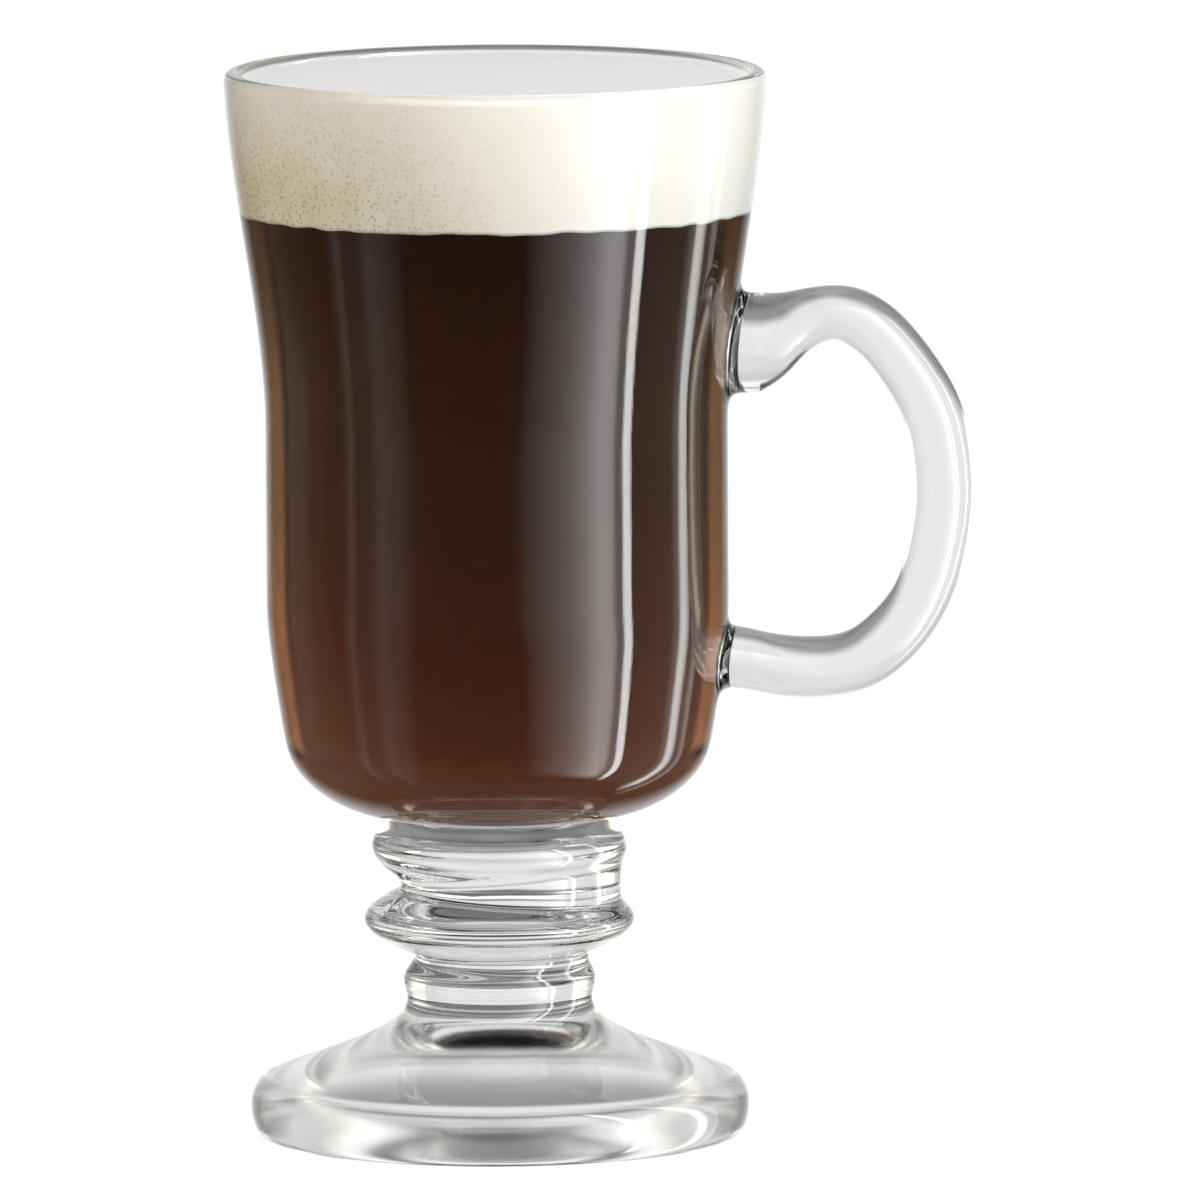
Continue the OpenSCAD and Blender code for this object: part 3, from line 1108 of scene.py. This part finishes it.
@dataclass
class Drink:
    """The coffee and the cream on it, bounded by the inside of the bowl. Sizes are in millimetres."""

    bowl: Bowl
    coffee_z: float
    cream_z: float
    gap: float = 0.01
    overlap: float = 0.02
    # The drips on the border, and their most waves round the drink
    drips: float = 0.35
    drip_waves: int = 40
    # The cream's top lies this far under the cream's level in the middle, and lower by the swell at the wall
    sink: float = 0.25
    swell: float = 0.2
    # The soft ripple of the top, over its radius
    wave: float = 0.22
    waves: int = 4
    wave_pitch: float = 24.0
    top_r: float = 34.0
    levels: int = 40
    top_shares: Sequence[float] = (0.995, 0.985, 0.965, 0.93, 0.88, 0.8, 0.7, 0.6, 0.5, 0.4, 0.3, 0.2, 0.1)
    sides: int = 192

    def border(self, turns: Array) -> Array:
        """Height of the border of coffee and cream at the wall: level, with small drips and bumps."""
        return self.coffee_z + self.drips * ripple(turns, np.zeros(1), self.drip_waves, pitch=1.0, seed=8)

    def wall(self, heights: Array, turns: Array) -> Array:
        """Points on the drink's side at heights of shape (n, m)."""
        radius = self.bowl.inner_radius(heights) - self.gap
        return np.stack([radius * np.cos(turns), radius * np.sin(turns), heights], 2)

    def coffee(self, material: Material) -> Object:
        """Follows the inside of the bowl up to the border, and closes it with a slightly uneven top.

        Args:
            material: The coffee's material.

        Returns:
            The coffee.
        """
        turns = turns_round(self.sides)
        profile = self.bowl.inside()[::-1]
        heights = profile[profile[:, 1] < self.coffee_z - 2 * self.drips, 1]
        edge = self.border(turns) + self.overlap
        side = self.wall(np.maximum(heights[:, None], self.bowl.floor_z + self.gap) * np.ones_like(turns), turns)
        top = self.wall(edge[None, :], turns)
        floor = drawn_in(side[:1], self.bowl.floor_shares[1:][::-1])
        rings = np.concatenate([floor, side, top, drawn_in(top, DISC_SHARES[::-1])])
        return closed_mesh("coffee_brew", rings, on_axis(side[0, 0, 2], edge.mean()), [material])

    def cream(self, material: Material) -> Object:
        """Stands on the border, follows the wall up, and swells very slightly over its top.

        At a share s of the way to the wall, the top lies the sink and s^6 of the swell under the cream's level, plus
        a soft ripple times s (1 - s^4), which fades to the middle and the wall.

        Args:
            material: The cream's material.

        Returns:
            The cream.
        """
        turns = turns_round(self.sides)
        edge = self.border(turns)
        levels = np.linspace(0, 1, self.levels)[:, None]
        side = self.wall(edge + (self.cream_z - self.sink - self.swell - edge) * levels, turns)
        shares = np.array(self.top_shares)[:, None]
        top = drawn_in(side[-1:], self.top_shares)
        soft = self.wave * ripple(turns[None, :], shares * self.top_r, self.waves, self.wave_pitch, seed=21)
        top[:, :, 2] = self.cream_z - self.sink - self.swell * shares**6 + soft * (1 - shares**4) * shares
        rings = np.concatenate([drawn_in(side[:1]), side, top])
        return closed_mesh("cream_layer", rings, on_axis(edge.mean(), top[-1, :, 2].mean()), [material])


# The studio

def hung(name: str, points: Array, material: Material, rig: Object, closed: bool = False) -> Object:
    """Hangs a lit cloth round the mug, which neither the camera nor a surface that scatters light sees.

    Args:
        name: Name of the cloth.
        points: Its points, of shape (n, m, 3), in the rig's own metres.
        material: Its material, which isn't sampled as a lamp.
        rig: The stand that holds it.
        closed: Whether its last column joins the first.

    Returns:
        The cloth.
    """
    rows, columns, _ = points.shape
    mesh = bpy.data.meshes.new(name)
    mesh.from_pydata(points.reshape(-1, 3).tolist(), [], grid_faces(rows, columns, closed).tolist())
    material.cycles.emission_sampling = "NONE"
    mesh.materials.append(material)
    cloth = linked(name, mesh)
    cloth.parent = rig
    cloth.visible_camera = cloth.visible_diffuse = cloth.visible_shadow = False
    return cloth


@dataclass
class Reflector:
    """A tall curved screen that only reflections show. Its glow changes from strip to strip round the mug."""

    # Degrees from the photographer towards the handle's side, and the glow there. On the left is a faint window, and
    # on the right a soft window that grows towards its edge, a glaring strip beside it and two more far round.
    strips: Table = (
        (-86, 0), (-82, 0.15), (-79.5, 0.4), (-77, 0.4), (-75, 0.14), (-67, 0.14), (-60, 0.5), (-56, 0.42),
        (-50, 0.3), (-45, 0.18), (-41, 0),
        (8, 0), (14, 0.33), (25, 0.95), (32, 1.4), (39, 2.2), (43, 2.8), (47, 3.7), (50.5, 4.6), (54, 5.2),
        (59, 4.8), (61, 3.4), (62.5, 1.6), (66, 1.6), (67, 13), (71, 13), (72, 0.2),
        (99, 0.2), (105, 1.2), (106.5, 6.5), (110, 6.5), (113, 3), (114, 0.3), (118, 0.3), (119.5, 1.2), (122.5, 1.2),
        (124, 0),
    )
    # The strips stand further round below this level and less far above it, by a share of each degree, so that they
    # look straight on the curved glass
    level: float = -12.0
    lean_share: float = 0.35
    radius: float = 1.2
    reach: float = 1.5
    rows: int = 49
    # Degrees from column to column, and the dark ones past the strips
    step: float = 0.5
    margin: float = 16.0
    # The glow fades over this share of the reach at the top and bottom
    fade: float = 0.25

    def cloth(self) -> Material:
        """Makes the cloth: it glows as its points say, and light passes through it.

        Returns:
            The material.
        """
        material, add = emptied(bpy.data.materials.new("reflector_cloth_lit"))
        level = add("ShaderNodeAttribute", attribute_name="glow")
        light = add("ShaderNodeEmission", {"Strength": level.outputs["Fac"]})
        clear = add("ShaderNodeBsdfTransparent")
        both = add("ShaderNodeAddShader", {0: light, 1: clear})
        add("ShaderNodeOutputMaterial", {"Surface": both})
        return material

    def build(self, rig: Object) -> Object:
        """Makes the screen as part of a cylinder, whose glow is linear between the strips and fades at both ends.

        A point u degrees round at e degrees of elevation glows as the table says for u, less the lean share of
        e - level on the left and plus it on the right.

        Args:
            rig: What holds the lights round the mug, with the photographer on its +Z side.

        Returns:
            The screen.
        """
        table = np.array(self.strips, float)
        turns = np.arange(table[0, 0] - self.margin, table[-1, 0] + self.margin, self.step)
        u, v = np.meshgrid(turns, np.linspace(-1, 1, self.rows))
        a = np.radians(u)
        points = np.stack([self.radius * np.sin(a), self.reach * v, self.radius * np.cos(a)], 2)
        lean = self.lean_share * (np.degrees(np.arctan2(self.reach * v, self.radius)) - self.level)
        glow = np.interp(u + np.sign(u) * lean, table[:, 0], table[:, 1]) * np.clip((1 - np.abs(v)) / self.fade, 0, 1)
        screen = hung("reflector", points, self.cloth(), rig)
        values = screen.data.attributes.new("glow", "FLOAT", "POINT").data
        values.foreach_set("value", glow.ravel().astype(np.float32))
        screen.visible_transmission = False
        return screen


@dataclass
class LightTent:
    """A tent round the mug that glass and reflections show: bright, with a dark band at each side and dim below.

    That is how clear glass is photographed on white: what it bends towards the dark bands draws its outline.
    """

    ambient: float = 0.7
    # What light from inside the glass sees: the glow at degrees away from straight ahead, to either side, and the
    # share of it that is left at degrees above the level of the mug
    around: Table = (
        (0, 0.87), (22, 0.87), (33, 0.8), (44, 0.8), (60, 0.95), (74, 0.8), (81, 0.16), (95, 0.16), (115, 0.95),
    )
    upward: Table = (
        (-90, 0.2), (-36, 0.2), (-27, 0.34), (-19, 0.36), (-15, 0.6), (-12, 0.85), (-9, 1.0), (9, 1.0), (16, 0.92),
        (26, 0.9), (34, 0.78), (40, 0.78), (46, 1.25), (58, 1.25), (90, 0.8),
    )
    # The same two tables for a bright warm strip on each side, which lights the drink's edges from behind
    strip_around: Table = ((0, 0), (41, 0), (44, 2.0), (58, 2.0), (65, 0), (180, 0))
    strip_upward: Table = ((-90, 0), (-16, 0), (-11, 1), (4, 1), (12, 0.15), (90, 0))
    strip: str = "#fff0cb"
    # The glow round the mug for light that the outside mirrors, at any height
    mirrored: Table = ((0, 0.85), (12, 0.85), (30, 0.04), (180, 0.04))
    radius: float = 6.0
    columns: int = 64
    rows: int = 33
    # Half the opening at the top and the bottom, in radians
    opening: float = 0.02

    def build(self, rig: Object) -> Object:
        """Makes the tent as a sphere about the rig: r sin v cos u, r cos v, r sin v sin u.

        Args:
            rig: What holds the lights round the mug, with the photographer on its +Z side.

        Returns:
            The tent.
        """
        turns = np.arange(self.columns) * 2 * math.pi / self.columns
        u, v = np.meshgrid(turns, np.linspace(self.opening, math.pi - self.opening, self.rows))
        points = self.radius * np.stack([np.sin(v) * np.cos(u), np.cos(v), np.sin(v) * np.sin(u)], 2)
        return hung("light_tent", points, self.cloth(), rig, closed=True)

    def ramp(self, add: Adder, place: Node, table: Table, colour: str = "#ffffff") -> Node:
        """Reads one of the tables by degrees.

        Args:
            add: Adds a node to the tree.
            place: Gives 0 at the table's first row and 1 at 180 degrees past it.
            table: Degrees and glow.
            colour: What the glow is tinted with.

        Returns:
            The node that gives the tinted glow.
        """
        tint = linear(colour)[:3]
        return add("ShaderNodeValToRGB", {"Fac": place}, stops=[
            ((degrees - table[0][0]) / 180, (*(glow * part for part in tint), 1.0)) for degrees, glow in table
        ])

    def cloth(self) -> Material:
        """Makes the glowing cloth, whose pattern depends on the direction of each point from the mug.

        Light that came through glass last and light that was mirrored last see two different patterns, and a
        surface that scatters light gets the plain ambient level.

        Returns:
            The material.
        """
        material, add = emptied(bpy.data.materials.new("light_tent_cloth"))
        rays = add("ShaderNodeLightPath")
        place = add("ShaderNodeTexCoord")
        direction = add("ShaderNodeVectorMath", {0: place.outputs["Object"]}, operation="NORMALIZE")
        parts = add("ShaderNodeSeparateXYZ", {"Vector": direction})
        ahead = add("ShaderNodeMath", {0: parts.outputs["Z"], 1: -1.0}, operation="MULTIPLY")
        aside = add("ShaderNodeMath", {0: parts.outputs["X"], 1: ahead}, operation="ARCTAN2")
        away = add("ShaderNodeMath", {0: aside}, operation="ABSOLUTE")
        turn = add("ShaderNodeMath", {0: away, 1: math.pi}, operation="DIVIDE")
        rise = add("ShaderNodeMath", {0: parts.outputs["Y"]}, operation="ARCSINE")
        height = add("ShaderNodeMath", {0: rise, 1: 1 / math.pi, 2: 0.5}, operation="MULTIPLY_ADD")
        whole, strip = (
            add("ShaderNodeVectorMath", {
                0: self.ramp(add, turn, around, colour), 1: self.ramp(add, height, upward),
            }, operation="MULTIPLY")
            for colour, around, upward in (
                ("#ffffff", self.around, self.upward), (self.strip, self.strip_around, self.strip_upward),
            )
        )
        through = add("ShaderNodeVectorMath", {0: whole, 1: strip}, operation="ADD")
        seen = add("ShaderNodeMix", {
            "Factor": rays.outputs["Is Reflection Ray"], 6: through, 7: self.ramp(add, turn, self.mirrored),
        }, data_type="RGBA")
        lit = add("ShaderNodeMath", {0: rays.outputs["Diffuse Depth"], 1: 0.5}, operation="GREATER_THAN")
        colour = add("ShaderNodeMix", {"Factor": lit, 6: seen, 7: grey(self.ambient)}, data_type="RGBA")
        glow = add("ShaderNodeEmission", {"Color": colour})
        add("ShaderNodeOutputMaterial", {"Surface": glow})
        return material


@dataclass
class Studio:
    """White floor and surroundings, soft lamps, and the photograph's camera with the tent and reflector round it."""

    tent: LightTent = field(default_factory=LightTent)
    reflector: Reflector = field(default_factory=Reflector)
    # Pixels per millimetre of the 1200 pixel photograph, and the pixel of the middle of the mug's foot
    pixels_per_mm: float = 7.21
    image_px: float = 1200.0
    foot_px: tuple[float, float] = (500.5, 1132.0)
    elevation: float = 7.0
    lean: float = 0.28
    camera_distance: float = 3.0
    sensor_mm: float = 36.0
    clip: tuple[float, float] = (0.1, 30.0)
    # The floor's half side, its paper, and what it glows with to the camera, so that it comes out white
    floor_half: float = 6.0
    floor_paper: str = "#8a8a8a"
    floor_glow: float = 0.82
    # Name, place in metres, side in metres, power in watts and colour of each lamp, and the height that they aim at
    lamps: Sequence[tuple[str, tuple[float, float, float], float, float, str]] = (
        ("lamp_right", (0.9, -0.55, 0.75), 0.5, 14.0, "#ffffff"),
        ("lamp_left", (-0.9, -0.8, 0.6), 0.6, 6.0, "#fff4e4"),
    )
    lamp_aim_z: float = 0.09
    # Light crosses up to 24 faces of the nested glass, and clear joints don't count among them
    bounces: int = 24
    clear_bounces: int = 32

    def world(self) -> None:
        """White to the camera, and a plain level for what it lights."""
        world, add = emptied(bpy.data.worlds.new("studio"))
        bpy.context.scene.world = world
        rays = add("ShaderNodeLightPath")
        level = add("ShaderNodeMix", {"Factor": rays.outputs["Is Camera Ray"], "A": self.tent.ambient, "B": 1.0})
        sky = add("ShaderNodeBackground", {"Color": grey(1.0), "Strength": level})
        add("ShaderNodeOutputWorld", {"Surface": sky})

    def floor(self) -> Object:
        """A pale floor, white to the camera but for the mug's shadow, and clear from below.

        Returns:
            The floor.
        """
        half = self.floor_half
        mesh = bpy.data.meshes.new("floor")
        edge = [(-half, -half, 0), (half, -half, 0), (half, half, 0), (-half, half, 0)]
        mesh.from_pydata(edge, [], [(0, 1, 2, 3)])
        floor = linked("floor", mesh)
        material, add = emptied(bpy.data.materials.new("floor_white_paper"))
        rays = add("ShaderNodeLightPath")
        glow = add("ShaderNodeMath", {0: rays.outputs["Is Camera Ray"], 1: self.floor_glow}, operation="MULTIPLY")
        light = add("ShaderNodeEmission", {"Strength": glow})
        paper = add("ShaderNodeBsdfDiffuse", {"Color": linear(self.floor_paper)})
        both = add("ShaderNodeAddShader", {0: paper, 1: light})
        side = add("ShaderNodeNewGeometry")
        clear = add("ShaderNodeBsdfTransparent")
        sheet = add("ShaderNodeMixShader", {0: side.outputs["Backfacing"], 1: both, 2: clear})
        add("ShaderNodeOutputMaterial", {"Surface": sheet})
        material.cycles.emission_sampling = "NONE"
        mesh.materials.append(material)
        floor.visible_glossy = floor.visible_transmission = False
        return floor

    def lamp(self, name: str, place: Sequence[float], size: float, power: float, colour: str) -> Object:
        """Adds a soft square lamp that points at the mug and isn't seen in reflections.

        Args:
            name: Name of the lamp.
            place: Where it stands, in metres.
            size: Its side, in metres.
            power: Its power in watts.
            colour: Its colour.

        Returns:
            The lamp.
        """
        data = bpy.data.lights.new(name, "AREA")
        data.shape, data.size, data.energy = "SQUARE", size, power
        data.color = linear(colour)[:3]
        lamp = linked(name, data)
        aim = Vector((0, 0, self.lamp_aim_z)) - Vector(place)
        lamp.matrix_world = Matrix.Translation(Vector(place)) @ aim.to_track_quat("-Z", "Y").to_matrix().to_4x4()
        lamp.visible_glossy = lamp.visible_camera = lamp.visible_transmission = False
        return lamp

    def camera(self) -> Object:
        """Sets up a far camera with the photograph's scale, height above level and slight lean.

        The photograph's middle pixel gives the point that the camera looks at, on the plane through the mug's axis.

        Returns:
            The camera.
        """
        tilt, lean = math.radians(self.elevation), math.radians(self.lean)
        ahead = Vector((0, math.cos(tilt), -math.sin(tilt)))
        level, up = Vector((1, 0, 0)), Vector((0, math.sin(tilt), math.cos(tilt)))
        right = level * math.cos(lean) - up * math.sin(lean)
        top = level * math.sin(lean) + up * math.cos(lean)
        middle = self.image_px / 2
        offset = Vector((middle - self.foot_px[0], self.foot_px[1] - middle)) / self.pixels_per_mm * MM
        aim = right * offset.x + top * offset.y
        data = bpy.data.cameras.new("camera")
        data.sensor_width = self.sensor_mm
        data.lens = self.sensor_mm * self.camera_distance / (self.image_px / self.pixels_per_mm * MM)
        data.clip_start, data.clip_end = self.clip
        camera = linked("camera", data)
        turn = Matrix((right, top, -ahead)).transposed().to_4x4()
        camera.matrix_world = Matrix.Translation(aim - ahead * self.camera_distance) @ turn
        bpy.context.scene.camera = camera
        return camera

    def rig(self, camera: Object) -> Object:
        """Adds the stand at the mug that holds tent and reflector, and keeps their front to the camera.

        Args:
            camera: The camera.

        Returns:
            The stand.
        """
        rig = linked("light_rig", None)
        rig.parent = camera
        rig.location = (0, 0, -self.camera_distance)
        return rig

    def build(self) -> None:
        """Sets up everything round the mug."""
        bpy.context.scene.view_settings.view_transform = "Standard"
        cycles = bpy.context.scene.cycles
        cycles.max_bounces = cycles.transmission_bounces = cycles.glossy_bounces = self.bounces
        cycles.transparent_max_bounces = self.clear_bounces
        self.world()
        self.floor()
        rig = self.rig(self.camera())
        self.tent.build(rig)
        self.reflector.build(rig)
        for lamp in self.lamps:
            self.lamp(*lamp)


def corners(node: str) -> tuple[Array, Array]:
    """Lowest and highest corner of a node of the frame, in millimetres."""
    low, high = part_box(node)
    return np.array(low) / MM, np.array(high) / MM


def main() -> None:
    """Loads the frame, builds each piece of the mug in its place, and sets up the studio."""
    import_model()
    bowl_low, bowl_high = corners("bowl")
    stem_low, stem_high = corners("stem")
    foot_low, foot_high = corners("foot")
    _, coffee_high = corners("coffee")
    _, cream_high = corners("cream")
    # The underside of the foot keeps the mould's fine grain, because it isn't fire polished, and its greyer tint is
    # painted shade, as of the shaded floor seen through it
    moulded_shaded_glass = SodaLimeGlass(tint="#f4f6f5", roughness=0.15, name="soda_lime_glass_moulded_painted_shade")
    glass = [SodaLimeGlass().build(), FusedJoint().build(), WettedGlass().build(), moulded_shaded_glass.build()]
    bowl = Bowl(bottom_z=bowl_low[2], rim_z=bowl_high[2], cream_z=cream_high[2])
    handle = Handle(bowl)
    stem = Stem(bottom_z=stem_low[2], top_z=stem_high[2])
    foot = Foot(height=foot_high[2], foot_d=foot_high[0] - foot_low[0])
    drink = Drink(bowl, coffee_z=coffee_high[2], cream_z=cream_high[2])
    coffee = BrewedCoffee().build(bowl.floor_z, drink.coffee_z)
    cream = WhippedCream().build(drink.coffee_z, drink.cream_z, bowl.rim_d / 2)
    glass_pieces = [
        (bowl.build(handle, glass), "bowl"),
        (stem.build(glass), "stem"),
        (foot.build(glass), "foot"),
        (handle.build(glass), "handle"),
    ]
    for piece, node in glass_pieces:
        piece.visible_shadow = False
        settle(piece, node)
    settle(drink.coffee(coffee), "coffee")
    settle(drink.cream(cream), "cream")
    Studio().build()


if __name__ == "__main__":
    logging.basicConfig(level=logging.INFO, format="%(name)s: %(message)s")
    main()
